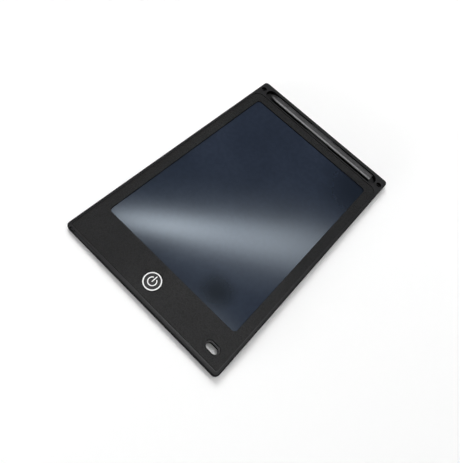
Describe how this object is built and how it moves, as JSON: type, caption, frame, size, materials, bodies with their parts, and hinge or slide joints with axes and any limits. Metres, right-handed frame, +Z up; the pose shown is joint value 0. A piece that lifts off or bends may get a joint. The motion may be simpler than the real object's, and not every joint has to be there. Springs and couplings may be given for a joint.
{
  "type": "lcd writing tablet",
  "caption": "Thin tablet with a dark writing film, an erase key, a lanyard hole, a cell tray and a stylus in a trough along its top edge.",
  "frame": {"origin": "bottom centre: under the middle of the body, on the back face that it lies on", "axes": "+Z up out of the screen, +Y along the long side towards the stylus, +X to the user's right"},
  "size_m": [0.146, 0.225, 0.0071],
  "materials": {
    "shell_black": "fine moulded texture",
    "panel_black": "fine leather-like texture",
    "key_black": "smooth satin",
    "white_print": "smooth",
    "writing_film": "satin film",
    "clear_film": "smooth film",
    "tape": "foam tape",
    "backing": "smooth sheet",
    "tail_amber": "flexible circuit",
    "connector_cream": "moulded",
    "board_green": "solder resist",
    "chip_black": "moulded",
    "ferrite": "matte",
    "chip_tan": "matte",
    "chip_dark": "matte",
    "switch_metal": "plain",
    "switch_black": "moulded",
    "cell_steel": "brushed",
    "contact_nickel": "plated",
    "screw_dark": "blackened",
    "tray_black": "fine moulded texture",
    "stylus_black": "satin"
  },
  "bodies": {
    "housing": {"front_shell": "shell_black", "face_panel": "panel_black", "back_cover": "shell_black", "corner_screws": "screw_dark", "film_adhesive": "tape", "lcd_front_film": "writing_film", "lcd_back_film": "clear_film", "backing_sheet": "backing", "film_tail": "tail_amber", "film_connector": "connector_cream", "circuit_board": "board_green", "driver_chip": "chip_black", "chip_capacitors": "chip_tan", "chip_resistors": "chip_dark", "boost_inductor": "ferrite", "erase_switch_base": "switch_metal", "lock_switch_body": "switch_metal", "positive_contact": "contact_nickel", "negative_contact": "contact_nickel"},
    "erase_key": {"erase_button": "key_black", "erase_ring": "white_print", "erase_symbol": "white_print", "erase_switch_stem": "switch_black"},
    "lock": {"lock_slider": "shell_black", "lock_switch_lever": "switch_black"},
    "tray": {"battery_tray": "tray_black", "coin_cell": "cell_steel", "tray_screw": "screw_dark"},
    "stylus": {"stylus_barrel": "stylus_black", "stylus_nose": "stylus_black", "stylus_cap": "stylus_black"}
  },
  "joints": [
    {"name": "erase_press", "type": "slide", "parent": "housing", "child": "erase_key", "axis": [0, 0, -1], "range_m": [0, 0.00025], "stiffness_N_per_m": 4000},
    {"name": "lock_slide", "type": "slide", "parent": "housing", "child": "lock", "axis": [1, 0, 0], "range_m": [0, 0.002]},
    {"name": "tray_draw", "type": "slide", "parent": "housing", "child": "tray", "axis": [0, -1, 0], "range_m": [0, 0.0245]},
    {"name": "stylus_lift", "type": "slide", "parent": "housing", "child": "stylus", "axis": [0, 0, 1], "range_m": [0, 0.04]}
  ]
}
